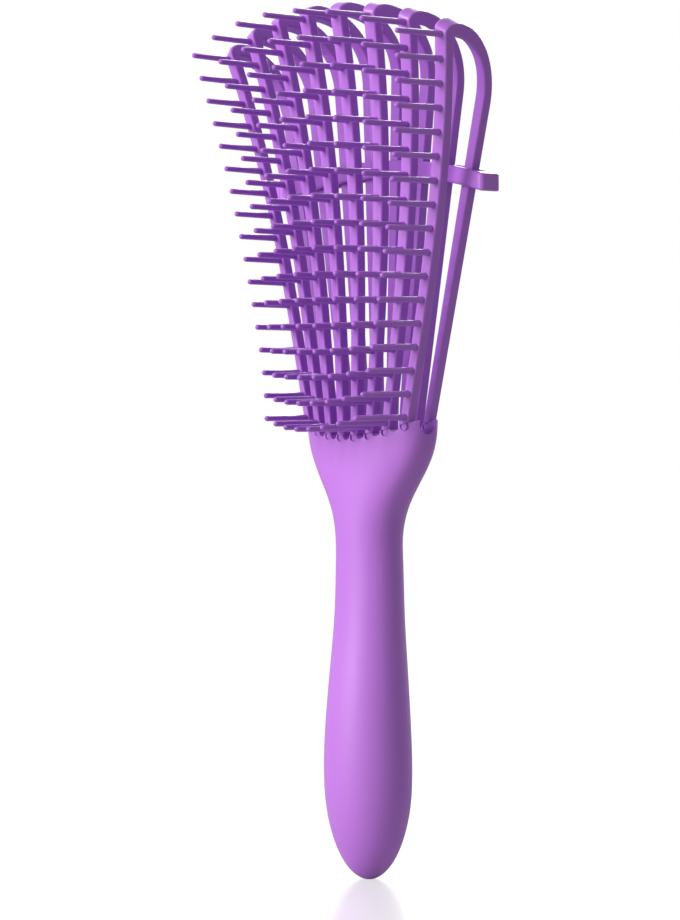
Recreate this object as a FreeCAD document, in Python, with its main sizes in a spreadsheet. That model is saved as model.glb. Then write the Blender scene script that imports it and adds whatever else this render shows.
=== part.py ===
import FreeCAD, Part
import math
import os

from FreeCAD import Rotation, Vector

# Detangling brush: a vase-shaped handle with a back cover, eight looped arms that
# fan out of its shoulder, a row of pins on the front leg of each arm, and a strap
# of two pieces that clasps the back legs. Z runs up the handle from its butt end,
# the pins point to -Y and the arms are counted from +X to -X.

SIZES = (
    ("brush_length", 235.0, "butt end to the crown of the middle arms"),
    ("belly_height", 28.0, "thickest place of the grip, above the butt end"),
    ("belly_width", 24.6, "grip at the belly, across"),
    ("belly_depth", 23.2, "grip at the belly, front to back"),
    ("neck_height", 86.0, "lower end of the slimmest stretch"),
    ("neck_length", 6.0, "length of the slimmest stretch"),
    ("neck_width", 19.2, "neck, across"),
    ("neck_depth", 17.2, "neck, front to back"),
    ("neck_offset", 1.4, "neck axis behind the butt end"),
    ("shoulder_height", 122.0, "where the shoulder is fully spread"),
    ("shoulder_width", 43.6, "shoulder, across"),
    ("shoulder_depth", 16.8, "shoulder, front to back"),
    ("shoulder_offset", 1.3, "shoulder axis behind the butt end"),
    ("shoulder_top", 126.0, "height up to which the shoulder is drawn"),
    ("butt_flat", 2.6, "flat spot at the butt end, across"),
    ("cover_thickness", 1.8, "back cover"),
    ("cover_seam", 0.12, "gap round the back cover"),
    ("cover_ledge", 1.8, "width of the ledge that carries the cover"),
    ("room_front", 4.0, "front of the hollow under the cover, before the axis"),
    ("cover_top", 117.6, "upper edge of the cover at its corners"),
    ("cover_sag", 1.2, "drop of the cover's upper edge at the middle"),
    ("cover_bottom", 3.2, "lower end of the cover"),
    ("split_depth", 1.0, "the cover lies behind this depth of the axis"),
    ("root_height", 119.9, "foot of the middle arms"),
    ("root_rise", 2.9, "foot of the outer arms above the middle ones"),
    ("root_gap", 0.1, "joint line under each arm's feet"),
    ("heel_radius", 1.0, "round heel under each arm's foot"),
    ("heel_drop", 0.6, "heel axis below the foot"),
    ("heel_inset", 0.4, "heel ends inside the faces of the leg"),
    ("crown_drop", 7.8, "crown of the outer arms below the middle ones"),
    ("root_pitch", 5.0, "arm spacing at the foot"),
    ("crown_pitch", 12.05, "arm spacing at the crown"),
    ("root_arm_width", 2.45, "arm width at the foot"),
    ("crown_arm_width", 3.85, "arm width at the crown"),
    ("front_leg", 3.2, "front leg, front to back"),
    ("back_leg", 3.1, "back leg, front to back"),
    ("front_root", 7.0, "front face of the middle arms at the foot"),
    ("front_lean", 9.7, "how far the front face leans forward at the crown"),
    ("front_round", 3.0, "outer front faces behind the middle ones, at the foot"),
    ("crown_front_round", 4.5, "outer front faces behind the middle ones, at the crown"),
    ("back_root", 9.6, "back face of the middle arms at the foot"),
    ("back_lean", 1.4, "how far the back face leans back at the crown"),
    ("back_round", 1.76, "outer back faces in front of the middle ones, at the foot"),
    ("crown_back_round", 0.1, "outer back faces in front of the middle ones, at the crown"),
    ("crown_rise", 20.0, "height of the crown's rear curve"),
    ("crown_wall", 3.7, "crown above the tip of the loop"),
    ("corner_rise", 3.0, "height of the crown's front corner"),
    ("corner_depth", 5.0, "depth of the crown's front corner"),
    ("arm_edge", 0.55, "rounding of the arms' edges"),
    ("pin_length", 15.2, "pin above the arm's face"),
    ("root_pin_extra", 2.0, "added length of the lowest pin"),
    ("pin_root_radius", 0.86, "pin at its root"),
    ("pin_tip_radius", 0.74, "pin at its tip"),
    ("pin_tip_round", 0.6, "rounding of the tip"),
    ("pin_seat", 1.0, "depth of the pin's socket"),
    ("pin_fit", 0.02, "radial gap of a pin in its socket"),
    ("pin_foot_margin", 1.8, "lowest pin above the arm's foot"),
    ("pin_crown_margin", 3.8, "highest pin below the crown"),
    ("strap_height", 191.5, "middle of the strap at the middle of the brush"),
    ("strap_width", 4.6, "strap, up and down"),
    ("strap_arch", 145.0, "radius of the strap's arch"),
    ("strap_play", 0.35, "gap between the strap band and the arms"),
    ("bar_play", 0.65, "gap between the strap's inner bar and the arms"),
    ("strap_side_play", 1.8, "gap between the outer arms and the strap's ends"),
    ("band_thickness", 1.5, "strap band at its thinnest"),
    ("band_wave", 0.8, "swell of the band over each arm"),
    ("bar_thickness", 1.9, "inner bar, front to back"),
    ("strap_end", 3.6, "length of the strap's end blocks"),
    ("strap_end_round", 1.3, "rounding of the end blocks"),
    ("strap_edge", 0.6, "rounding of the strap's long edges"),
    ("rim_reach", 0.02, "how near an edge lies to the strap's rim to be rounded with it"),
    ("peg_radius", 0.9, "pegs between the arms"),
    ("peg_seat", 0.8, "depth of a peg's socket in the band"),
    ("peg_fit", 0.03, "gap of a peg in its socket"),
    ("overrun", 5.0, "how far every cutter passes the solid it cuts"),
)

ARM_COUNT = 8
PINS_PER_ARM = 17
ROOT_PINS = 3
TOE_IN_SHARE = 0.03
SHOULDER_BACK_POWER = 4.0
ROUND_POWER = 2.0
SECTION_POINTS = 20
QUARTER_ARC_SHARE = 0.5523
STRAP_POINTS_PER_ARM = 8
LEAN_POWER = 3
FRONT_CURVE_SHARES = (0.0, 0.3, 0.6, 0.82, 1.0)
BUTT_SHARES = (0.18, 0.32, 0.5, 0.7, 0.86)
GRIP_SHARES = (0.0, 0.25, 0.5, 0.75, 1.0)
SHOULDER_SHARES = (0.0, 0.25, 0.5, 0.75, 1.0)
COVER_CORNER_SHARES = ((0.995, 0.67), (0.978, 0.715), (0.94, 0.735))
COVER_SIDE_SHARES = ((0.88, 0.8), (0.81, 0.74), (0.72, 0.64), (0.6, 0.72), (0.5, 0.81), (0.36, 0.87),
                     (0.22, 0.89))
COVER_BUTT_SHARES = ((0.13, 0.87), (0.075, 0.82), (0.045, 0.68))

doc = FreeCAD.newDocument("detangling_brush")
sheet = doc.addObject("Spreadsheet::Sheet", "Sizes")
for number, (alias, value, note) in enumerate(SIZES, start=1):
    sheet.set(f"A{number}", note)
    sheet.set(f"B{number}", str(value))
    sheet.setAlias(f"B{number}", alias)
doc.recompute()


def size(alias):
    """Return one driving dimension from the sheet."""
    return float(sheet.get(alias))


def add_bound(kind, label, **bindings):
    """Add an object whose named sizes follow expressions on the sheet."""
    piece = doc.addObject(kind, label)
    piece.Label = label
    for name, expression in bindings.items():
        piece.setExpression(name, expression)
    return piece


def add_form(label, shape):
    """Keep a free-form curve, face or solid in the document."""
    piece = doc.addObject("Part::Feature", label)
    piece.Label = label
    piece.Shape = shape
    piece.Placement = FreeCAD.Placement()
    return piece


def add_rod(label, radius, length, start, along):
    """Add a cylinder bound to the sheet, from a start point along a direction."""
    rod = add_bound("Part::Cylinder", label, Radius=radius, Height=length)
    rod.Placement = FreeCAD.Placement(start, Rotation(Vector(0, 0, 1), along))
    return rod


def add_prism(label, face, along, length):
    """Add the solid that a face sweeps along a direction, bound to the sheet."""
    prism = add_bound("Part::Extrusion", label, LengthFwd=length)
    prism.Base = add_form(f"{label}_outline", face)
    prism.DirMode = "Custom"
    prism.Dir = along
    prism.Solid = True
    return prism


def add_cut(label, base, tool):
    """Add the solid that is left of base when tool is taken away."""
    piece = add_bound("Part::Cut", label)
    piece.Base = base
    piece.Tool = tool
    return piece


def add_joined(kind, label, pieces):
    """Add the union, common part or loose group of several pieces."""
    joined = add_bound(kind, label)
    if kind == "Part::Compound":
        joined.Links = pieces
    else:
        joined.Shapes = pieces
    return joined


def ease(share):
    """Return a smooth step from 0 to 1 as share goes from 0 to 1."""
    held = min(max(share, 0.0), 1.0)
    return (1 - math.cos(math.pi * held)) / 2


def between(start, end, share):
    """Return the value that lies at a share of the way from start to end."""
    return start + (end - start) * share


# Handle

def grip_share(height):
    """Return how far a height lies from the belly (0) to the neck (1)."""
    return (height - size("belly_height")) / (size("neck_height") - size("belly_height"))


def shoulder_share(height):
    """Return how far a height lies from the neck (0) to the shoulder (1)."""
    start = size("neck_height") + size("neck_length")
    return (height - start) / (size("shoulder_height") - start)


def handle_extent(height, name):
    """Return the handle's half width or half depth at a height above the belly."""
    slim = between(size(f"belly_{name}"), size(f"neck_{name}"), ease(grip_share(height)))
    return between(slim, size(f"shoulder_{name}"), ease(shoulder_share(height))) / 2


def handle_offset(height):
    """Return how far the handle's axis lies behind the butt end at a height."""
    slim = between(0, size("neck_offset"), ease(grip_share(height)))
    return between(slim, size("shoulder_offset"), ease(shoulder_share(height)))


def section_wire(half_width, half_depth, offset, back_power, height):
    """Return a closed section: elliptic in front, squarer behind as back_power grows."""
    points = []
    for step in range(SECTION_POINTS):
        angle = 2 * math.pi * step / SECTION_POINTS
        across = math.cos(angle)
        behind = math.sin(angle)
        power = back_power if behind > 0 else ROUND_POWER
        reach = (abs(across) / half_width) ** power + (abs(behind) / half_depth) ** power
        radius = reach ** (-1 / power)
        points.append(Vector(radius * across, offset + radius * behind, height))
    curve = Part.BSplineCurve()
    curve.interpolate(Points=points, PeriodicFlag=True)
    return Part.Wire(curve.toShape())


def butt_section(share, inset):
    """Return a section of the rounded butt end at a share of the belly's height."""
    flat_share = butt_flat_share()
    height = between(inset, size("belly_height"), (share - flat_share) / (1 - flat_share))
    swell = math.sqrt(1 - (1 - share) ** 2)
    half_width = (size("belly_width") / 2 - inset) * swell
    half_depth = (size("belly_depth") / 2 - inset) * swell
    return section_wire(half_width, half_depth, 0, ROUND_POWER, height)


def upper_section(height, inset):
    """Return a section of the handle above its belly, drawn in by inset."""
    half_width = handle_extent(height, "width") - inset
    half_depth = handle_extent(height, "depth") - inset
    back_power = between(ROUND_POWER, SHOULDER_BACK_POWER, ease(shoulder_share(height)))
    return section_wire(half_width, half_depth, handle_offset(height), back_power, height)


def butt_flat_share():
    """Return the share of the belly's height at which the butt end is cut flat."""
    return 1 - math.sqrt(1 - (size("butt_flat") / size("belly_width")) ** 2)


def handle_loft(inset):
    """Return the handle's outer form, drawn in by inset on every side."""
    butt_shares = (butt_flat_share(), *(share ** 2 for share in BUTT_SHARES))
    wires = [butt_section(share, inset) for share in butt_shares]
    for share in GRIP_SHARES:
        wires.append(upper_section(between(size("belly_height"), size("neck_height"), share), inset))
    start = size("neck_height") + size("neck_length")
    for share in SHOULDER_SHARES:
        wires.append(upper_section(between(start, size("shoulder_height"), share), inset))
    wires.append(upper_section(size("shoulder_top"), inset))
    return Part.makeLoft(wires, True, False)


def local_half_width(height):
    """Return the handle's half width at any height, butt end included."""
    if height >= size("belly_height"):
        return handle_extent(height, "width")
    share = height / size("belly_height")
    return size("belly_width") / 2 * math.sqrt(1 - (1 - share) ** 2)


def cover_outline(grow, depth):
    """Return the face of the back cover's outline, grown by grow, at a depth."""
    right = []
    for height_share, width_share in COVER_CORNER_SHARES + COVER_SIDE_SHARES + COVER_BUTT_SHARES:
        height = size("cover_top") * height_share
        half_width = local_half_width(height) * width_share
        lift = grow if height_share > COVER_SIDE_SHARES[0][0] else 0
        right.append(Vector(half_width + grow, depth, height + lift))
    bottom = Vector(0, depth, size("cover_bottom") - grow)
    left = [Vector(-point.x, point.y, point.z) for point in reversed(right)]
    middle = Vector(0, depth, size("cover_top") - size("cover_sag") + grow)
    top = Part.Arc(left[-1], middle, right[0])
    return Part.Face(Part.Wire([spline_edge(right + [bottom] + left), top.toShape()]))


def above_shoulder_outline():
    """Return the face that bounds the space above the shoulder's arched top."""
    half = size("shoulder_width") / 2 + size("overrun")
    outer = (ARM_COUNT - 1) / 2 * arm_pitch(root_height_at(1))
    rise = size("root_rise") * (half / outer) ** 2
    front = -size("shoulder_width")
    left, right = [Vector(sign * half, front, size("root_height") + rise) for sign in (-1, 1)]
    ceiling = Vector(0, 0, size("shoulder_top") - size("root_height") + size("overrun"))
    arch = bezier_edge(left, Vector(0, front, size("root_height") - rise), right)
    sides = Part.makePolygon([right, right + ceiling, left + ceiling, left])
    return Part.Face(Part.Wire([arch, *sides.Edges]))


def add_slot_ends():
    """Add the round cutters that end the slots between the arms."""
    cutters = []
    for slot in range(1, ARM_COUNT):
        step = ARM_COUNT / 2 - slot
        height = root_height_at(abs(step) / ((ARM_COUNT - 1) / 2))
        start = Vector(step * arm_pitch(height), -size("shoulder_width"), height)
        cutters.append(add_rod(f"slot_end_{slot}", "(Sizes.root_pitch - Sizes.root_arm_width) / 2",
                               "2 * Sizes.shoulder_width", start, Vector(0, 1, 0)))
    return add_joined("Part::Compound", "slot_ends", cutters)


def add_heel_seats():
    """Add the round cutters that make room for the arms' heels."""
    start = Vector(0, -size("shoulder_width"), 0)
    seats = [add_rod(f"heel_seat_{arm}", "Sizes.heel_radius + Sizes.root_gap", "2 * Sizes.shoulder_width",
                     heel_place(arm) + start, Vector(0, 1, 0)) for arm in range(1, ARM_COUNT + 1)]
    return add_joined("Part::Compound", "heel_seats", seats)


def add_loop_end():
    """Add the round cutter that ends the loops between the front and back legs."""
    height = root_height_at(1)
    middle = (front_face(1, height) + size("front_leg") + back_face(1, height) - size("back_leg")) / 2
    start = Vector(-size("shoulder_width"), middle, height)
    across = "Sizes.back_root + Sizes.front_root - Sizes.back_round - Sizes.front_round"
    return add_rod("loop_end", f"({across} - Sizes.back_leg - Sizes.front_leg) / 2",
                   "2 * Sizes.shoulder_width", start, Vector(1, 0, 0))


def build_handle():
    """Build the hollow handle and the cover that closes its back."""
    back = Vector(0, 1, 0)
    reach = "2 * Sizes.shoulder_width"
    split = size("split_depth")
    seam = size("cover_seam")
    form = add_form("handle_form", handle_loft(0))
    under_cover = add_form("under_cover_form", handle_loft(size("cover_thickness")))
    cover_prism = add_prism("cover_prism", cover_outline(0, split), back, reach)
    recess_prism = add_prism("recess_prism", cover_outline(seam, split - seam), back, reach)
    room = add_prism("room", cover_outline(-size("cover_ledge"), -size("room_front")), back, reach)
    above = add_prism("above_shoulder", above_shoulder_outline(), back, reach)
    cover_block = add_joined("Part::MultiCommon", "cover_block", [form, cover_prism])
    add_cut("handle_back_cover", cover_block, under_cover)
    solid = add_cut("handle_topped", form, above)
    solid = add_cut("handle_recessed", solid, add_cut("recess", recess_prism, under_cover))
    solid = add_cut("handle_hollowed", solid, room)
    solid = add_cut("handle_slotted", solid, add_slot_ends())
    solid = add_cut("handle_seated", solid, add_heel_seats())
    add_cut("handle_shell", solid, add_loop_end())


# Arms

def root_height_at(spread):
    """Return the foot's height at a spread of 0 (middle) to 1 (outer arms)."""
    return size("root_height") + size("root_rise") * spread ** 2


def crown_height_at(spread):
    """Return the crown's height at a spread of 0 (middle) to 1 (outer arms)."""
    return size("brush_length") - size("crown_drop") * spread ** 2


def fan_share(height):
    """Return how far a height lies from the middle foot (0) to the crown (1)."""
    return (height - size("root_height")) / (size("brush_length") - size("root_height"))


def arm_pitch(height):
    """Return the spacing of the arms at a height."""
    return between(size("root_pitch"), size("crown_pitch"), fan_share(height))


def arm_width(height):
    """Return the width of an arm at a height."""
    return between(size("root_arm_width"), size("crown_arm_width"), fan_share(height))


def arm_share(spread, height):
    """Return how far a height lies from an arm's foot (0) to its crown (1)."""
    foot = root_height_at(spread)
    return (height - foot) / (crown_height_at(spread) - foot)


def front_face(spread, height):
    """Return the depth of the arms' front face."""
    share = max(arm_share(spread, height), 0)
    curve = between(size("front_round"), size("crown_front_round"), share)
    return -size("front_root") - size("front_lean") * share ** LEAN_POWER + curve * spread ** 2


def back_face(spread, height):
    """Return the depth of the arms' back face."""
    share = arm_share(spread, height)
    curve = between(size("back_round"), size("crown_back_round"), share)
    return size("back_root") + size("back_lean") * share - curve * spread ** 2


def arm_step(arm):
    """Return an arm's place counted in pitches from the middle of the fan."""
    return (ARM_COUNT + 1) / 2 - arm


def spline_edge(points):
    """Return a smooth edge through the points."""
    curve = Part.BSplineCurve()
    curve.interpolate(points)
    return curve.toShape()


def bezier_edge(*poles):
    """Return a Bezier edge on the poles."""
    curve = Part.BezierCurve()
    curve.setPoles(list(poles))
    return curve.toShape()


def arm_side_wire(step, side):
    """Return the outline of one side of an arm: an upturned U with a rounded crown."""
    half_fan = (ARM_COUNT - 1) / 2
    side_shift = side * size("root_arm_width") / size("root_pitch") / 2
    spread = abs(step + side_shift) / half_fan

    def at(depth, height):
        return Vector(step * arm_pitch(height) + side * arm_width(height) / 2, depth, height)

    foot = root_height_at(spread) + size("root_gap")
    crown = crown_height_at(spread)
    rear = crown - size("crown_rise")
    corner = crown - size("corner_rise")
    tip = crown - size("crown_wall")
    top_depth = front_face(spread, corner) + size("corner_depth")
    rear_depth = back_face(spread, rear)
    rear_slope = (rear_depth - back_face(spread, foot)) / (rear - foot)
    rear_pull = QUARTER_ARC_SHARE * size("crown_rise")
    front_pull = QUARTER_ARC_SHARE * size("corner_rise")
    corner_slope = (front_face(spread, crown) - front_face(spread, corner)) / size("corner_rise")
    tip_depth = front_face(spread, tip) + size("front_leg")
    inner_rear = rear_depth - size("back_leg")
    inner_run = inner_rear - tip_depth

    outer_front = [at(front_face(spread, between(foot, corner, share)), between(foot, corner, share))
                   for share in FRONT_CURVE_SHARES]
    inner_front = [at(front_face(spread, between(foot, tip, share)) + size("front_leg"),
                      between(foot, tip, share)) for share in reversed(FRONT_CURVE_SHARES)]
    top = at(top_depth, crown)
    inner_top = at(inner_rear, rear)
    edges = [
        Part.LineSegment(at(back_face(spread, foot), foot),
                         at(back_face(spread, foot) - size("back_leg"), foot)).toShape(),
        Part.LineSegment(at(back_face(spread, foot) - size("back_leg"), foot), inner_top).toShape(),
        bezier_edge(inner_top, at(inner_rear + rear_slope * rear_pull, rear + rear_pull),
                    at(tip_depth + inner_run * QUARTER_ARC_SHARE, tip), inner_front[0]),
        spline_edge(inner_front),
        Part.LineSegment(inner_front[-1], outer_front[0]).toShape(),
        spline_edge(outer_front),
        bezier_edge(outer_front[-1],
                    at(front_face(spread, corner) + corner_slope * front_pull, corner + front_pull),
                    at(top_depth - QUARTER_ARC_SHARE * size("corner_depth"), crown), top),
        bezier_edge(top, at(between(top_depth, rear_depth, QUARTER_ARC_SHARE), crown),
                    at(rear_depth + rear_slope * rear_pull, rear + rear_pull), at(rear_depth, rear)),
        Part.LineSegment(at(rear_depth, rear), at(back_face(spread, foot), foot)).toShape(),
    ]
    return Part.Wire(edges)


def pin_places(arm):
    """Return the foot point and direction of every pin of an arm, lowest first."""
    step = arm_step(arm)
    spread = abs(step) / ((ARM_COUNT - 1) / 2)
    lowest = root_height_at(spread) + size("pin_foot_margin")
    highest = crown_height_at(spread) - size("pin_crown_margin")
    outward = Vector(-TOE_IN_SHARE * step, -1, 0).normalize()
    places = []
    for row in range(PINS_PER_ARM):
        height = between(lowest, highest, row / (PINS_PER_ARM - 1))
        face = Vector(step * arm_pitch(height), front_face(spread, height), height)
        places.append((face - outward * size("pin_seat"), outward))
    return places


def heel_place(arm):
    """Return the place of an arm's heel axis where it crosses the plane of the fan."""
    step = arm_step(arm)
    foot = root_height_at(abs(step) / ((ARM_COUNT - 1) / 2))
    return Vector(step * arm_pitch(foot), 0, foot - size("heel_drop"))


def add_heels(arm):
    """Add the round heels on which an arm's two legs turn."""
    place = heel_place(arm)
    spread = abs(arm_step(arm)) / ((ARM_COUNT - 1) / 2)
    foot = root_height_at(spread)
    starts = {"front": front_face(spread, foot), "back": back_face(spread, foot) - size("back_leg")}
    return [add_rod(f"arm_{arm}_{leg}_heel", "Sizes.heel_radius", f"Sizes.{leg}_leg - 2 * Sizes.heel_inset",
                    place + Vector(0, start + size("heel_inset"), 0), Vector(0, 1, 0))
            for leg, start in starts.items()]


def build_arm(arm):
    """Build one looped arm, its edges rounded, with its heels and the sockets of its pins."""
    step = arm_step(arm)
    sides = [add_form(f"arm_{arm}_side_{number}", arm_side_wire(step, side))
             for number, side in enumerate((-1, 1), start=1)]
    blank = add_bound("Part::Loft", f"arm_{arm}_blank")
    blank.Sections = sides
    blank.Solid = True
    blank.Ruled = True
    doc.recompute()
    rounded = add_bound("Part::Fillet", f"arm_{arm}_rounded")
    rounded.Base = blank
    rounded.Edges = [(number, size("arm_edge"), size("arm_edge"))
                     for number, edge in enumerate(blank.Shape.Edges, start=1) if is_side_edge(edge, sides)]
    sockets = [add_rod(f"arm_{arm}_socket_{row}", "Sizes.pin_root_radius + Sizes.pin_fit",
                       "Sizes.pin_seat + Sizes.overrun", place, outward)
               for row, (place, outward) in enumerate(pin_places(arm), start=1)]
    heeled = add_joined("Part::MultiFuse", f"arm_{arm}_heeled", [rounded, *add_heels(arm)])
    add_cut(f"arm_{arm}", heeled, add_joined("Part::Compound", f"arm_{arm}_sockets", sockets))


def is_side_edge(edge, sides):
    """Tell whether an edge is part of a side's outline and not of a foot's rim."""
    middle = Part.Vertex(edge.valueAt((edge.FirstParameter + edge.LastParameter) / 2))
    lowest = min(side.Shape.BoundBox.ZMin for side in sides) + size("root_rise")
    on_side = any(side.Shape.distToShape(middle)[0] < size("root_gap") / 2 for side in sides)
    return on_side and max(vertex.Z for vertex in edge.Vertexes) > lowest


# Pins

def build_pin_forms():
    """Build one pin for each length, longest first, with a rounded tip."""
    forms = []
    for row in range(ROOT_PINS + 1):
        extra_share = (1 - row / ROOT_PINS) ** 2
        core = add_bound("Part::Cone", f"pin_core_{row + 1}", Radius1="Sizes.pin_root_radius",
                         Radius2="Sizes.pin_tip_radius",
                         Height=f"Sizes.pin_length + Sizes.pin_seat + {extra_share} * Sizes.root_pin_extra")
        doc.recompute()
        tip = next(number for number, edge in enumerate(core.Shape.Edges, start=1)
                   if edge.BoundBox.ZMin > size("pin_length") / 2)
        form = add_bound("Part::Fillet", f"pin_form_{row + 1}")
        form.Base = core
        form.Edges = [(tip, size("pin_tip_round"), size("pin_tip_round"))]
        forms.append(form)
    return forms


def build_pin_row(arm, forms):
    """Build the pins of one arm, each its own solid, the longest at the foot."""
    pins = []
    for row, (place, outward) in enumerate(pin_places(arm)):
        pin = doc.addObject("App::Link", f"arm_{arm}_pin_{row + 1}")
        pin.LinkedObject = forms[min(row, ROOT_PINS)]
        pin.Placement = FreeCAD.Placement(place, Rotation(Vector(0, 0, 1), outward))
        pins.append(pin)
    add_joined("Part::Compound", f"pin_row_{arm}", pins)


# Strap

def strap_back(across):
    """Return the depth of the arms' back faces along the strap."""
    height = size("strap_height")
    outer = (ARM_COUNT - 1) / 2 * arm_pitch(height)
    curve = back_face(0, height) - back_face(1, height)
    return back_face(0, height) - curve * (across / outer) ** 2


def strap_inner_end():
    """Return how far from the middle the strap's end blocks begin."""
    height = size("strap_height")
    outer = (ARM_COUNT - 1) / 2 * arm_pitch(height) + arm_width(height) / 2
    return outer + size("strap_side_play")


def behind_arms(across, gap):
    """Return a point behind the arms' back faces by a gap, on the strap's plan."""
    return Vector(across, strap_back(across) + gap, size("strap_height") - size("strap_arch") / 2)


def strap_plan(half_length, front_gap, back_gaps):
    """Return the plan between the arms' back faces moved by front_gap and by back_gaps."""
    samples = STRAP_POINTS_PER_ARM * ARM_COUNT
    acrosses = [between(-half_length, half_length, sample / samples) for sample in range(samples + 1)]
    front = [behind_arms(across, front_gap) for across in acrosses]
    back = [behind_arms(across, back_gaps(across)) for across in acrosses]
    ends = [Part.LineSegment(front[-1], back[-1]).toShape(), Part.LineSegment(back[0], front[0]).toShape()]
    return Part.Face(Part.Wire([spline_edge(front), ends[0], spline_edge(back), ends[1]]))


def add_strap_ring():
    """Add the flat ring whose top is the strap's arched strip."""
    start = Vector(0, -size("shoulder_width"), size("strap_height") - size("strap_arch"))
    rims = [add_rod(f"strap_rim_{name}", f"Sizes.strap_arch {sign} Sizes.strap_width / 2",
                    "2 * Sizes.shoulder_width", start, Vector(0, 1, 0))
            for name, sign in (("outer", "+"), ("inner", "-"))]
    return add_cut("strap_ring", *rims)


def add_rounded_strip(label, form, ring, shortest):
    """Add the strip of a form inside the ring, its rim edges rounded if longer than shortest."""
    strip = add_joined("Part::MultiCommon", f"{label}_strip", [form, ring])
    doc.recompute()
    centre = Vector(0, 0, size("strap_height") - size("strap_arch"))

    def off_middle(point):
        return abs(Vector(point.x, 0, point.z).sub(centre).Length - size("strap_arch"))

    def is_rim(edge):
        middle = edge.valueAt((edge.FirstParameter + edge.LastParameter) / 2)
        points = [middle] + [vertex.Point for vertex in edge.Vertexes]
        return all(abs(off_middle(point) - size("strap_width") / 2) < size("rim_reach") for point in points)

    rounded = add_bound("Part::Fillet", f"{label}_rounded")
    rounded.Base = strip
    rounded.Edges = [(number, size("strap_edge"), size("strap_edge"))
                     for number, edge in enumerate(strip.Shape.Edges, start=1)
                     if is_rim(edge) and edge.Length > shortest]
    return rounded


def add_end_block(number, side):
    """Add one of the blocks that close the strap beside the outer arms, outer corners round."""
    inner_end = strap_inner_end()
    middle = inner_end + size("strap_end") / 2
    front = behind_arms(middle, -size("back_leg") - size("bar_play") - size("bar_thickness"))
    block = add_bound("Part::Box", f"strap_block_{number}", Length="Sizes.strap_end",
                      Width="Sizes.back_leg + Sizes.strap_play + Sizes.bar_play + Sizes.bar_thickness"
                            " + Sizes.band_thickness",
                      Height="Sizes.strap_arch")
    left = inner_end if side > 0 else -inner_end - size("strap_end")
    block.Placement.Base = Vector(left, front.y, front.z)
    doc.recompute()
    outer = left + size("strap_end") if side > 0 else left
    rounded = add_bound("Part::Fillet", f"strap_corners_{number}")
    rounded.Base = block
    rounded.Edges = [(edge_number, size("strap_end_round"), size("strap_end_round"))
                     for edge_number, edge in enumerate(block.Shape.Edges, start=1)
                     if edge.BoundBox.ZLength > size("strap_arch") / 2
                     and abs(edge.CenterOfMass.x - outer) < size("strap_end") / 2]
    return rounded


def build_strap():
    """Build the strap's wavy band, with its end blocks, and its inner bar with pegs."""
    up = Vector(0, 0, 1)
    pitch = arm_pitch(size("strap_height"))
    play = size("strap_play")
    inner_end = strap_inner_end()
    bar_back = -size("back_leg") - size("bar_play")

    def band_back(across):
        wave = size("band_wave") * (1 - math.cos(2 * math.pi * across / pitch)) / 2
        return play + size("band_thickness") + wave

    def flat_back(across):
        return bar_back

    ring = add_strap_ring()
    band_length = inner_end + size("strap_end") / 2
    band_plan = add_prism("band_plan", strap_plan(band_length, play, band_back), up, "Sizes.strap_arch")
    bar_plan = add_prism("bar_plan", strap_plan(inner_end, bar_back - size("bar_thickness"), flat_back), up,
                         "Sizes.strap_arch")
    blocks = [add_rounded_strip(f"strap_end_{number}", add_end_block(number, side), ring, 0)
              for number, side in enumerate((-1, 1), start=1)]
    plain_band = add_rounded_strip("band", band_plan, ring, inner_end)
    band = add_joined("Part::MultiFuse", "band_with_ends", [plain_band, *blocks])
    bar = add_rounded_strip("bar", bar_plan, ring, inner_end)
    reach = "Sizes.bar_thickness / 2 + Sizes.back_leg + Sizes.strap_play + Sizes.bar_play + Sizes.peg_seat"
    pegs = []
    sockets = []
    for slot in range(1, ARM_COUNT):
        across = (ARM_COUNT / 2 - slot) * pitch
        height = size("strap_height") - size("strap_arch") + math.sqrt(size("strap_arch") ** 2 - across ** 2)
        start = Vector(across, strap_back(across) + bar_back - size("bar_thickness") / 2, height)
        pegs.append(add_rod(f"peg_{slot}", "Sizes.peg_radius", reach, start, Vector(0, 1, 0)))
        sockets.append(add_rod(f"peg_socket_{slot}", "Sizes.peg_radius + Sizes.peg_fit", reach, start,
                               Vector(0, 1, 0)))
    add_cut("strap_band", band, add_joined("Part::Compound", "peg_sockets", sockets))
    add_joined("Part::MultiFuse", "strap_inner_bar", [bar, *pegs])


def check_and_export():
    """Stop on a failed object or shape, then write every labelled piece."""
    labels = ["handle_shell", "handle_back_cover", "strap_band", "strap_inner_bar"]
    labels += [f"{name}_{arm}" for name in ("arm", "pin_row") for arm in range(1, ARM_COUNT + 1)]
    for piece in doc.Objects:
        if "Invalid" in piece.State or "Error" in piece.State:
            raise RuntimeError(f"{piece.Label} failed to build")
    os.makedirs("parts", exist_ok=True)
    for label in labels:
        shape = doc.getObjectsByLabel(label)[0].Shape
        if shape.isNull() or not shape.isValid():
            raise RuntimeError(f"{label} has no valid shape")
        shape.exportStep(f"parts/{label}.step")
        print(label, len(shape.Solids), round(shape.Volume, 1), shape.BoundBox)


build_handle()
for arm_number in range(1, ARM_COUNT + 1):
    build_arm(arm_number)
pin_forms = build_pin_forms()
for arm_number in range(1, ARM_COUNT + 1):
    build_pin_row(arm_number, pin_forms)
build_strap()
doc.recompute()
check_and_export()
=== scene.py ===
"""Looks of a violet detangling brush: moulded plastic finishes, rounded pins and a white studio."""

import logging
import math
from dataclasses import dataclass
from enum import Enum

import bmesh
import bpy
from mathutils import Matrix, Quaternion, Vector


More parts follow.
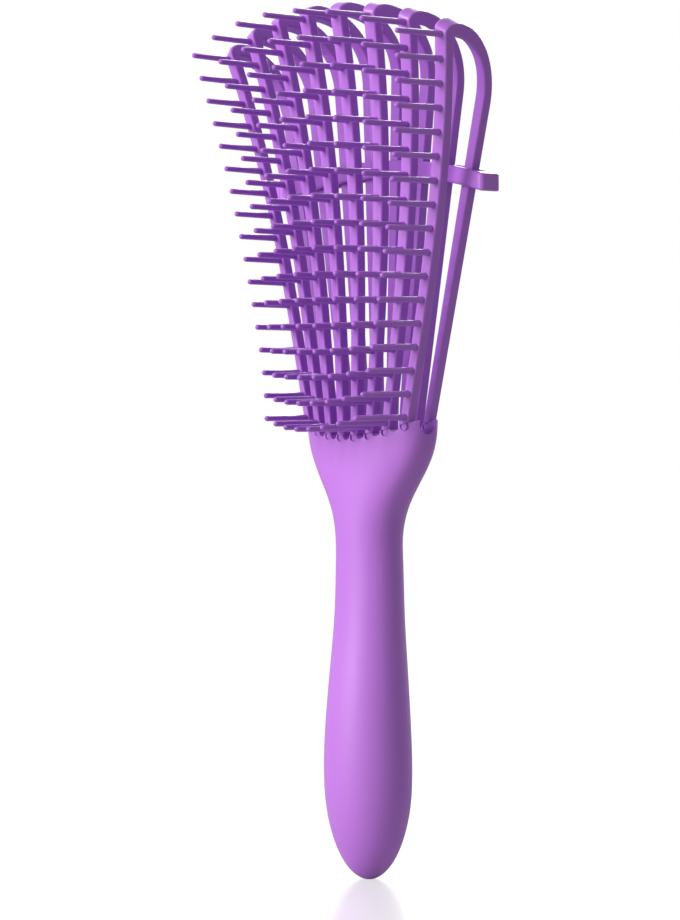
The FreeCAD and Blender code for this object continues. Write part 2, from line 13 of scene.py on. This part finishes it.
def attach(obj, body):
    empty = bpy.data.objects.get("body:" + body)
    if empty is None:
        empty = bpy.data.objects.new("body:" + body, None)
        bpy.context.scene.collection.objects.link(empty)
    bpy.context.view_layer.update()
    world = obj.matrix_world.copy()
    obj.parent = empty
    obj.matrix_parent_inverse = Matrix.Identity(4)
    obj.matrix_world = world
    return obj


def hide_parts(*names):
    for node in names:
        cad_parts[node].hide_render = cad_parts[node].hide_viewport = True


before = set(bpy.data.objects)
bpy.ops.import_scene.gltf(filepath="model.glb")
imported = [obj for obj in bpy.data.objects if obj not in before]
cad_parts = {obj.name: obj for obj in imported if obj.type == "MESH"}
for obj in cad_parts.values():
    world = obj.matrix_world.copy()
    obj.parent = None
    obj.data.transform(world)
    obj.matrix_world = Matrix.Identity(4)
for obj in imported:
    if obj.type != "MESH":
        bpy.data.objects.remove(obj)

LOG = logging.getLogger("detangling_brush")
MM = 0.001
ARM_COUNT = 8
SEAT_REACH = 0.25 * MM
MERGE_REACH = 0.001 * MM
PLASTIC_IOR = 1.46
COAT_ROUGHNESS_SHARE = 0.6
Colour = tuple[float, float, float]
Share = tuple[float, float]
WHITE: Colour = (1.0, 1.0, 1.0)
WARM_WHITE: Colour = (1.0, 0.98, 0.93)
COOL_WHITE: Colour = (0.9, 0.92, 1.0)


class Group(Enum):
    """Shader node groups that the finishes share."""

    TONE = "moulded_tone"
    GRAIN = "moulded_grain"


class Way(Enum):
    """Ways through the wall of a node group."""

    IN = "INPUT"
    OUT = "OUTPUT"


class Kind(Enum):
    """Kinds of value that a node group takes in or gives out."""

    VECTOR = "NodeSocketVector"
    COLOUR = "NodeSocketColor"
    NUMBER = "NodeSocketFloat"
    COUNT = "NodeSocketInt"
    SHAPE = "NodeSocketGeometry"
    MATERIAL = "NodeSocketMaterial"


class Finish(Enum):
    """Named finishes of the brush."""

    HANDLE = "handle_soft_touch"
    COVER = "cover_soft_touch"
    ARM = "arm_satin"
    PIN = "pin_satin"
    STRAP = "strap_satin"


@dataclass(frozen=True)
class MouldedPlastic:
    """A moulded plastic finish: its colours, its gloss and the grain of its mould."""

    colour: Colour
    deep_colour: Colour
    roughness: float
    roughness_drift: float
    drift_size: float
    grain_size: float
    grain_depth: float
    coat: float

    def build(self, name: str) -> bpy.types.Material:
        """Build the finish as a material.

        Args:
            name: Name of the material.

        Returns:
            The new material, whose pattern follows object coordinates.
        """
        material = bpy.data.materials.new(name)
        material.use_nodes = True
        nodes = material.node_tree.nodes
        links = material.node_tree.links
        shader = nodes["Principled BSDF"]
        place = nodes.new("ShaderNodeTexCoord")
        tone = nodes.new("ShaderNodeGroup")
        tone.node_tree = tone_group()
        grain = nodes.new("ShaderNodeGroup")
        grain.node_tree = grain_group()
        bump = nodes.new("ShaderNodeBump")
        tone.inputs["Colour"].default_value = opaque(self.colour)
        tone.inputs["Deep Colour"].default_value = opaque(self.deep_colour)
        tone.inputs["Scale"].default_value = 1.0 / self.drift_size
        tone.inputs["Roughness"].default_value = self.roughness
        tone.inputs["Roughness Drift"].default_value = self.roughness_drift
        grain.inputs["Scale"].default_value = 1.0 / self.grain_size
        bump.inputs["Strength"].default_value = 1.0
        bump.inputs["Distance"].default_value = self.grain_depth
        shader.inputs["Coat Weight"].default_value = self.coat
        shader.inputs["Coat Roughness"].default_value = self.roughness * COAT_ROUGHNESS_SHARE
        shader.inputs["IOR"].default_value = PLASTIC_IOR
        links.new(place.outputs["Object"], tone.inputs["Vector"])
        links.new(place.outputs["Object"], grain.inputs["Vector"])
        links.new(tone.outputs["Colour"], shader.inputs["Base Color"])
        links.new(tone.outputs["Roughness"], shader.inputs["Roughness"])
        links.new(grain.outputs["Height"], bump.inputs["Height"])
        links.new(bump.outputs["Normal"], shader.inputs["Normal"])
        return material


FINISHES: dict[Finish, MouldedPlastic] = {
    Finish.HANDLE: MouldedPlastic(
        colour=(0.425, 0.154, 0.605), deep_colour=(0.385, 0.132, 0.572), roughness=0.44, roughness_drift=0.06,
        drift_size=40 * MM, grain_size=0.35 * MM, grain_depth=0.012 * MM, coat=0.0,
    ),
    Finish.COVER: MouldedPlastic(
        colour=(0.415, 0.149, 0.597), deep_colour=(0.375, 0.128, 0.564), roughness=0.45, roughness_drift=0.06,
        drift_size=36 * MM, grain_size=0.35 * MM, grain_depth=0.012 * MM, coat=0.0,
    ),
    Finish.ARM: MouldedPlastic(
        colour=(0.415, 0.148, 0.605), deep_colour=(0.365, 0.122, 0.565), roughness=0.36, roughness_drift=0.05,
        drift_size=25 * MM, grain_size=0.30 * MM, grain_depth=0.006 * MM, coat=0.05,
    ),
    Finish.PIN: MouldedPlastic(
        colour=(0.380, 0.130, 0.590), deep_colour=(0.340, 0.110, 0.550), roughness=0.28, roughness_drift=0.05,
        drift_size=12 * MM, grain_size=0.25 * MM, grain_depth=0.003 * MM, coat=0.15,
    ),
    Finish.STRAP: MouldedPlastic(
        colour=(0.415, 0.148, 0.605), deep_colour=(0.370, 0.124, 0.568), roughness=0.38, roughness_drift=0.05,
        drift_size=18 * MM, grain_size=0.30 * MM, grain_depth=0.006 * MM, coat=0.05,
    ),
}


def opaque(colour: Colour) -> tuple[float, float, float, float]:
    """Return a colour with full alpha."""
    return (*colour, 1.0)


def add_sockets(tree: bpy.types.NodeTree, way: Way, sockets: dict[str, Kind]) -> None:
    """Give a node group its named inputs or outputs, in order."""
    for name, kind in sockets.items():
        tree.interface.new_socket(name, in_out=way.value, socket_type=kind.value)


def new_group(kind: Group) -> tuple[bpy.types.NodeTree, bpy.types.Node, bpy.types.Node]:
    """Make an empty shader group with its input and output nodes.

    Args:
        kind: Which group to make.

    Returns:
        The group, its input node and its output node.
    """
    tree = bpy.data.node_groups.new(kind.value, "ShaderNodeTree")
    return tree, tree.nodes.new("NodeGroupInput"), tree.nodes.new("NodeGroupOutput")


def tone_group() -> bpy.types.NodeTree:
    """Return the group that lets colour and gloss drift slowly over a moulding.

    Returns:
        The shared group, built the first time it is asked for.
    """
    if Group.TONE.value in bpy.data.node_groups:
        return bpy.data.node_groups[Group.TONE.value]
    tree, entry, leave = new_group(Group.TONE)
    add_sockets(tree, Way.IN, {
        "Vector": Kind.VECTOR, "Colour": Kind.COLOUR, "Deep Colour": Kind.COLOUR, "Scale": Kind.NUMBER,
        "Roughness": Kind.NUMBER, "Roughness Drift": Kind.NUMBER,
    })
    add_sockets(tree, Way.OUT, {"Colour": Kind.COLOUR, "Roughness": Kind.NUMBER})
    drift = tree.nodes.new("ShaderNodeTexNoise")
    drift.inputs["Detail"].default_value = 2.0
    mix = tree.nodes.new("ShaderNodeMix")
    mix.data_type = "RGBA"
    gloss = tree.nodes.new("ShaderNodeMath")
    gloss.operation = "MULTIPLY_ADD"
    links = tree.links
    links.new(entry.outputs["Vector"], drift.inputs["Vector"])
    links.new(entry.outputs["Scale"], drift.inputs["Scale"])
    links.new(drift.outputs["Fac"], mix.inputs["Factor"])
    links.new(entry.outputs["Colour"], mix.inputs["A"])
    links.new(entry.outputs["Deep Colour"], mix.inputs["B"])
    links.new(drift.outputs["Fac"], gloss.inputs[0])
    links.new(entry.outputs["Roughness Drift"], gloss.inputs[1])
    links.new(entry.outputs["Roughness"], gloss.inputs[2])
    links.new(mix.outputs["Result"], leave.inputs["Colour"])
    links.new(gloss.outputs[0], leave.inputs["Roughness"])
    return tree


def grain_group() -> bpy.types.NodeTree:
    """Return the group that gives the fine grain of a spark-eroded mould.

    Returns:
        The shared group, built the first time it is asked for.
    """
    if Group.GRAIN.value in bpy.data.node_groups:
        return bpy.data.node_groups[Group.GRAIN.value]
    tree, entry, leave = new_group(Group.GRAIN)
    add_sockets(tree, Way.IN, {"Vector": Kind.VECTOR, "Scale": Kind.NUMBER})
    add_sockets(tree, Way.OUT, {"Height": Kind.NUMBER})
    grain = tree.nodes.new("ShaderNodeTexNoise")
    grain.inputs["Detail"].default_value = 1.0
    links = tree.links
    links.new(entry.outputs["Vector"], grain.inputs["Vector"])
    links.new(entry.outputs["Scale"], grain.inputs["Scale"])
    links.new(grain.outputs["Fac"], leave.inputs["Height"])
    return tree


def dress(node: str, material: bpy.types.Material) -> None:
    """Give a node of the frame its finish.

    Args:
        node: Name of the node.
        material: Finish to give it.
    """
    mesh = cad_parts[node].data
    mesh.materials.clear()
    mesh.materials.append(material)
    LOG.info("dressed %s with %s", node, material.name)


@dataclass
class Handle:
    """The grip with its back cover."""

    shell: str = "handle_shell"
    cover: str = "handle_back_cover"

    def dress(self, materials: dict[Finish, bpy.types.Material]) -> None:
        """Dress the shell and the cover, each with its own finish."""
        dress(self.shell, materials[Finish.HANDLE])
        dress(self.cover, materials[Finish.COVER])


@dataclass
class ArmFan:
    """The eight looped arms."""

    count: int = ARM_COUNT

    def dress(self, materials: dict[Finish, bpy.types.Material]) -> None:
        """Dress every arm."""
        for arm in range(1, self.count + 1):
            dress(f"arm_{arm}", materials[Finish.ARM])


@dataclass(frozen=True)
class PinPlace:
    """Where one pin stands: its seat in the arm, its direction and its length."""

    seat: Vector
    outward: Vector
    length: float


def middle_of(points: list[Vector]) -> Vector:
    """Return the middle of the box round some points.

    Args:
        points: At least one point.

    Returns:
        The middle of their box.
    """
    return Vector([(min(values) + max(values)) / 2 for values in zip(*points)])


def place_of_pin(points: list[Vector]) -> PinPlace:
    """Return the place of the pin that some points belong to.

    Args:
        points: All points of one pin, whose tip lies towards -Y.

    Returns:
        The pin's place.
    """
    rear = max(point.y for point in points)
    front = min(point.y for point in points)
    seat = middle_of([point for point in points if point.y > rear - SEAT_REACH])
    tip = middle_of([point for point in points if point.y < front + SEAT_REACH])
    along = tip - seat
    return PinPlace(seat, along.normalized(), math.hypot(along.x, along.y))


def pin_places(node: str) -> list[PinPlace]:
    """Return the places of all pins of a node.

    Args:
        node: Name of a node whose solids are pins.

    Returns:
        One place for each pin.
    """
    shape = bmesh.new()
    shape.from_mesh(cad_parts[node].data)
    bmesh.ops.remove_doubles(shape, verts=shape.verts, dist=MERGE_REACH)
    left = set(shape.verts)
    places = []
    while left:
        island = [left.pop()]
        for vert in island:
            for edge in vert.link_edges:
                other = edge.other_vert(vert)
                if other in left:
                    left.remove(other)
                    island.append(other)
        places.append(place_of_pin([vert.co.copy() for vert in island]))
    shape.free()
    return places


def share_curve(tree: bpy.types.NodeTree, shares: list[Share]) -> bpy.types.Node:
    """Add a node that maps a share to another one by straight stretches.

    Args:
        tree: Tree that gets the node.
        shares: Pairs of a share and the value that it maps to, from 0 to 1.

    Returns:
        The new node.
    """
    node = tree.nodes.new("ShaderNodeFloatCurve")
    curve = node.mapping.curves[0]
    while len(curve.points) < len(shares):
        curve.points.new(0.5, 0.5)
    for point, (share, value) in zip(curve.points, shares):
        point.location = (share, value)
        point.handle_type = "VECTOR"
    node.mapping.update()
    return node


@dataclass
class PinRows:
    """The rows of round-tipped pins, one row for each arm."""

    count: int = ARM_COUNT
    root_radius: float = 0.86 * MM
    sides: int = 16
    profile: tuple[Share, ...] = (
        (0.0, 0.84), (0.052, 0.84), (0.062, 0.98), (0.078, 0.88), (0.1, 0.84), (0.5, 0.785), (0.952, 0.72),
        (0.975, 0.635), (0.991, 0.42), (1.0, 0.06),
    )

    def grow_tree(self) -> bpy.types.NodeTree:
        """Build the Geometry Nodes tree that grows a pin on each point.

        Returns:
            The tree, whose points carry their turn and their length.
        """
        tree = bpy.data.node_groups.new("pin_row", "GeometryNodeTree")
        add_sockets(tree, Way.IN, {
            "Geometry": Kind.SHAPE, "Radius": Kind.NUMBER, "Sides": Kind.COUNT, "Material": Kind.MATERIAL,
        })
        add_sockets(tree, Way.OUT, {"Geometry": Kind.SHAPE})
        nodes = tree.nodes
        entry = nodes.new("NodeGroupInput")
        leave = nodes.new("NodeGroupOutput")
        line = nodes.new("GeometryNodeCurvePrimitiveLine")
        line.inputs["End"].default_value = (0.0, 0.0, 1.0)
        stations = nodes.new("GeometryNodeResampleCurve")
        stations.inputs["Count"].default_value = len(self.profile)
        along = nodes.new("GeometryNodeSplineParameter")
        last = len(self.profile) - 1
        heights = share_curve(
            tree, [(number / last, height) for number, (height, _) in enumerate(self.profile)],
        )
        radii = share_curve(tree, list(self.profile))
        spot = nodes.new("ShaderNodeCombineXYZ")
        move = nodes.new("GeometryNodeSetPosition")
        thickness = nodes.new("ShaderNodeMath")
        thickness.operation = "MULTIPLY"
        ring = nodes.new("GeometryNodeCurvePrimitiveCircle")
        ring.inputs["Radius"].default_value = 1.0
        skin = nodes.new("GeometryNodeCurveToMesh")
        skin.inputs["Fill Caps"].default_value = True
        turn = nodes.new("GeometryNodeInputNamedAttribute")
        turn.data_type = "FLOAT_VECTOR"
        turn.inputs["Name"].default_value = "turn"
        rotation = nodes.new("FunctionNodeEulerToRotation")
        reach = nodes.new("GeometryNodeInputNamedAttribute")
        reach.data_type = "FLOAT"
        reach.inputs["Name"].default_value = "reach"
        stretch = nodes.new("ShaderNodeCombineXYZ")
        stretch.inputs["X"].default_value = 1.0
        stretch.inputs["Y"].default_value = 1.0
        spread = nodes.new("GeometryNodeInstanceOnPoints")
        real = nodes.new("GeometryNodeRealizeInstances")
        smooth = nodes.new("GeometryNodeSetShadeSmooth")
        coat = nodes.new("GeometryNodeSetMaterial")
        for source, target in (
            (line.outputs["Curve"], stations.inputs["Curve"]),
            (along.outputs["Factor"], heights.inputs["Value"]),
            (heights.outputs["Value"], spot.inputs["Z"]),
            (stations.outputs["Curve"], move.inputs["Geometry"]),
            (spot.outputs["Vector"], move.inputs["Position"]),
            (along.outputs["Factor"], radii.inputs["Value"]),
            (radii.outputs["Value"], thickness.inputs[0]),
            (entry.outputs["Radius"], thickness.inputs[1]),
            (entry.outputs["Sides"], ring.inputs["Resolution"]),
            (move.outputs["Geometry"], skin.inputs["Curve"]),
            (ring.outputs["Curve"], skin.inputs["Profile Curve"]),
            (thickness.outputs[0], skin.inputs["Scale"]),
            (entry.outputs["Geometry"], spread.inputs["Points"]),
            (skin.outputs["Mesh"], spread.inputs["Instance"]),
            (turn.outputs["Attribute"], rotation.inputs["Euler"]),
            (rotation.outputs["Rotation"], spread.inputs["Rotation"]),
            (reach.outputs["Attribute"], stretch.inputs["Z"]),
            (stretch.outputs["Vector"], spread.inputs["Scale"]),
            (spread.outputs["Instances"], real.inputs["Geometry"]),
            (real.outputs["Geometry"], smooth.inputs["Geometry"]),
            (smooth.outputs["Geometry"], coat.inputs["Geometry"]),
            (entry.outputs["Material"], coat.inputs["Material"]),
            (coat.outputs["Geometry"], leave.inputs["Geometry"]),
        ):
            tree.links.new(source, target)
        return tree

    def build(self, material: bpy.types.Material) -> None:
        """Grow every row on the body of its arm.

        Args:
            material: Finish of the pins.
        """
        tree = self.grow_tree()
        values = {"Radius": self.root_radius / self.profile[0][1], "Sides": self.sides, "Material": material}
        for arm in range(1, self.count + 1):
            row = self.build_row(f"round_pins_{arm}", pin_places(f"pin_row_{arm}"), tree, values)
            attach(row, f"arm_{arm}_body")
            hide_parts(f"pin_row_{arm}")

    def build_row(self, name: str, places: list[PinPlace], tree: bpy.types.NodeTree,
                  values: dict[str, float | int | bpy.types.Material]) -> bpy.types.Object:
        """Grow one row of pins and keep it as a plain mesh.

        Args:
            name: Name of the new piece.
            places: Places of its pins.
            tree: Tree that grows a pin on each point.
            values: Values of the tree's inputs by name.

        Returns:
            The new piece.
        """
        seats = bpy.data.meshes.new(name)
        seats.from_pydata([place.seat for place in places], [], [])
        seats.attributes.new("turn", "FLOAT_VECTOR", "POINT")
        seats.attributes.new("reach", "FLOAT", "POINT")
        for number, place in enumerate(places):
            seats.attributes["turn"].data[number].vector = place.outward.to_track_quat("Z", "Y").to_euler()
            seats.attributes["reach"].data[number].value = place.length
        row = bpy.data.objects.new(name, seats)
        bpy.context.scene.collection.objects.link(row)
        grow = row.modifiers.new("grow", "NODES")
        grow.node_group = tree
        for socket in tree.interface.items_tree:
            if socket.in_out == Way.IN.value and socket.name in values:
                grow[socket.identifier] = values[socket.name]
        row_now = row.evaluated_get(bpy.context.evaluated_depsgraph_get())
        grown = bpy.data.meshes.new_from_object(row_now)
        row.modifiers.remove(grow)
        row.data = grown
        LOG.info("grew %d pins as %s", len(places), name)
        return row


@dataclass
class Strap:
    """The strap's band and its inner bar."""

    band: str = "strap_band"
    bar: str = "strap_inner_bar"

    def dress(self, materials: dict[Finish, bpy.types.Material]) -> None:
        """Dress both pieces of the strap."""
        dress(self.band, materials[Finish.STRAP])
        dress(self.bar, materials[Finish.STRAP])


@dataclass(frozen=True)
class Softbox:
    """A rectangular studio light, with angles in degrees and lengths in metres."""

    name: str
    azimuth: float
    elevation: float
    distance: float
    width: float
    height: float
    power: float
    colour: Colour

    def build(self, target: Vector) -> None:
        """Hang the light round a target.

        Args:
            target: Point that the light faces.
        """
        lamp = bpy.data.lights.new(self.name, "AREA")
        lamp.shape = "RECTANGLE"
        lamp.size = self.width
        lamp.size_y = self.height
        lamp.energy = self.power
        lamp.color = self.colour
        holder = bpy.data.objects.new(self.name, lamp)
        bpy.context.scene.collection.objects.link(holder)
        holder.location = target + self.distance * direction(self.azimuth, self.elevation)
        holder.rotation_euler = (target - holder.location).to_track_quat("-Z", "Y").to_euler()


def direction(azimuth: float, elevation: float) -> Vector:
    """Return the unit vector from the brush towards a viewer.

    Args:
        azimuth: Degrees round Z from the front, towards +X.
        elevation: Degrees above the floor.

    Returns:
        The unit vector.
    """
    turn = math.radians(azimuth)
    lift = math.radians(elevation)
    return Vector((math.sin(turn) * math.cos(lift), -math.cos(turn) * math.cos(lift), math.sin(lift)))


@dataclass
class Studio:
    """White floor, white surroundings, soft lights and the camera."""

    azimuth: float = 45.0
    distance: float = 850 * MM
    eye_height: float = 129.4 * MM
    frame_height: float = 248.0 * MM
    aim_height: float = 113.2 * MM
    side_shift: float = -6.7 * MM
    roll: float = -0.6
    floor_size: float = 6.0
    floor_colour: Colour = (0.45, 0.45, 0.46)
    floor_roughness: float = 0.8
    floor_seen_share: float = 0.92
    mirror_roughness: float = 0.2
    glow_strength: float = 1.2
    glow_share: float = 0.6
    ambient_colour: Colour = (0.84, 0.86, 1.0)
    ambient_strength: float = 0.17
    sensor: float = 36.0
    nearest_seen: float = 10 * MM
    lights: tuple[Softbox, ...] = (
        Softbox("key_softbox", azimuth=-14.0, elevation=22.0, distance=1.1, width=0.6, height=0.6,
                power=17.0, colour=WARM_WHITE),
        Softbox("fill_softbox", azimuth=70.0, elevation=24.0, distance=1.3, width=0.6, height=1.0,
                power=1.2, colour=COOL_WHITE),
        Softbox("back_softbox", azimuth=206.0, elevation=30.0, distance=1.1, width=0.6, height=0.6,
                power=12.0, colour=WARM_WHITE),
    )

    def build(self) -> None:
        """Build the whole studio."""
        self.build_world()
        self.build_floor()
        target = Vector((0.0, 0.0, self.eye_height))
        for light in self.lights:
            light.build(target)
        self.build_camera()

    def build_world(self) -> None:
        """Make surroundings that are white to the camera and softer as light."""
        world = bpy.data.worlds.new("studio_white")
        bpy.context.scene.world = world
        world.use_nodes = True
        nodes = world.node_tree.nodes
        links = world.node_tree.links
        ambient = nodes["Background"]
        ambient.inputs["Color"].default_value = opaque(self.ambient_colour)
        ambient.inputs["Strength"].default_value = self.ambient_strength
        seen = nodes.new("ShaderNodeBackground")
        seen.inputs["Color"].default_value = opaque(WHITE)
        seen.inputs["Strength"].default_value = 1.0
        path = nodes.new("ShaderNodeLightPath")
        plain = nodes.new("ShaderNodeMath")
        plain.operation = "MAXIMUM"
        mix = nodes.new("ShaderNodeMixShader")
        links.new(path.outputs["Is Camera Ray"], plain.inputs[0])
        links.new(path.outputs["Is Glossy Ray"], plain.inputs[1])
        links.new(plain.outputs[0], mix.inputs["Fac"])
        links.new(ambient.outputs["Background"], mix.inputs[1])
        links.new(seen.outputs["Background"], mix.inputs[2])
        links.new(mix.outputs["Shader"], nodes["World Output"].inputs["Surface"])

    def build_floor(self) -> None:
        """Make the pale floor, which shows a faint mirror image of the butt end."""
        half = self.floor_size / 2
        mesh = bpy.data.meshes.new("studio_floor")
        corners = [(-half, -half, 0.0), (half, -half, 0.0), (half, half, 0.0), (-half, half, 0.0)]
        mesh.from_pydata(corners, [], [(0, 1, 2, 3)])
        floor = bpy.data.objects.new("studio_floor", mesh)
        bpy.context.scene.collection.objects.link(floor)
        material = bpy.data.materials.new("studio_floor_white")
        material.use_nodes = True
        nodes = material.node_tree.nodes
        links = material.node_tree.links
        matt = nodes["Principled BSDF"]
        matt.inputs["Base Color"].default_value = opaque(self.floor_colour)
        matt.inputs["Roughness"].default_value = self.floor_roughness
        mirror = nodes.new("ShaderNodeBsdfGlossy")
        mirror.inputs["Color"].default_value = opaque(WHITE)
        mirror.inputs["Roughness"].default_value = self.mirror_roughness
        glow = nodes.new("ShaderNodeEmission")
        glow.inputs["Strength"].default_value = self.glow_strength
        shine = nodes.new("ShaderNodeMixShader")
        shine.inputs["Fac"].default_value = self.glow_share
        path = nodes.new("ShaderNodeLightPath")
        share = nodes.new("ShaderNodeMath")
        share.operation = "MULTIPLY"
        share.inputs[1].default_value = self.floor_seen_share
        mix = nodes.new("ShaderNodeMixShader")
        links.new(mirror.outputs["BSDF"], shine.inputs[1])
        links.new(glow.outputs["Emission"], shine.inputs[2])
        links.new(path.outputs["Is Camera Ray"], share.inputs[0])
        links.new(share.outputs[0], mix.inputs["Fac"])
        links.new(matt.outputs["BSDF"], mix.inputs[1])
        links.new(shine.outputs["Shader"], mix.inputs[2])
        links.new(mix.outputs["Shader"], nodes["Material Output"].inputs["Surface"])
        mesh.materials.append(material)

    def build_camera(self) -> None:
        """Place the camera a little above the arms' feet, looking slightly down at the brush."""
        lens = bpy.data.cameras.new("studio_camera")
        lens.sensor_fit = "VERTICAL"
        lens.sensor_height = self.sensor
        lens.lens = self.sensor * self.distance / self.frame_height
        lens.clip_start = self.nearest_seen
        camera = bpy.data.objects.new("studio_camera", lens)
        bpy.context.scene.collection.objects.link(camera)
        turn = math.radians(self.azimuth)
        side = Vector((math.cos(turn), math.sin(turn), 0.0)) * self.side_shift
        eye = direction(self.azimuth, 0.0) * self.distance + Vector((0.0, 0.0, self.eye_height)) + side
        aim = Vector((0.0, 0.0, self.aim_height)) + side
        camera.location = eye
        level = (aim - eye).to_track_quat("-Z", "Y")
        camera.rotation_euler = (level @ Quaternion((0.0, 0.0, 1.0), math.radians(self.roll))).to_euler()
        bpy.context.scene.camera = camera


def main() -> None:
    """Dress the brush, grow its pins and build the studio."""
    logging.basicConfig(level=logging.INFO, format="%(name)s: %(message)s")
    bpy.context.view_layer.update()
    bpy.context.scene.view_settings.view_transform = "Standard"
    materials = {finish: plastic.build(finish.value) for finish, plastic in FINISHES.items()}
    Handle().dress(materials)
    ArmFan().dress(materials)
    PinRows().build(materials[Finish.PIN])
    Strap().dress(materials)
    Studio().build()


if __name__ == "__main__":
    main()
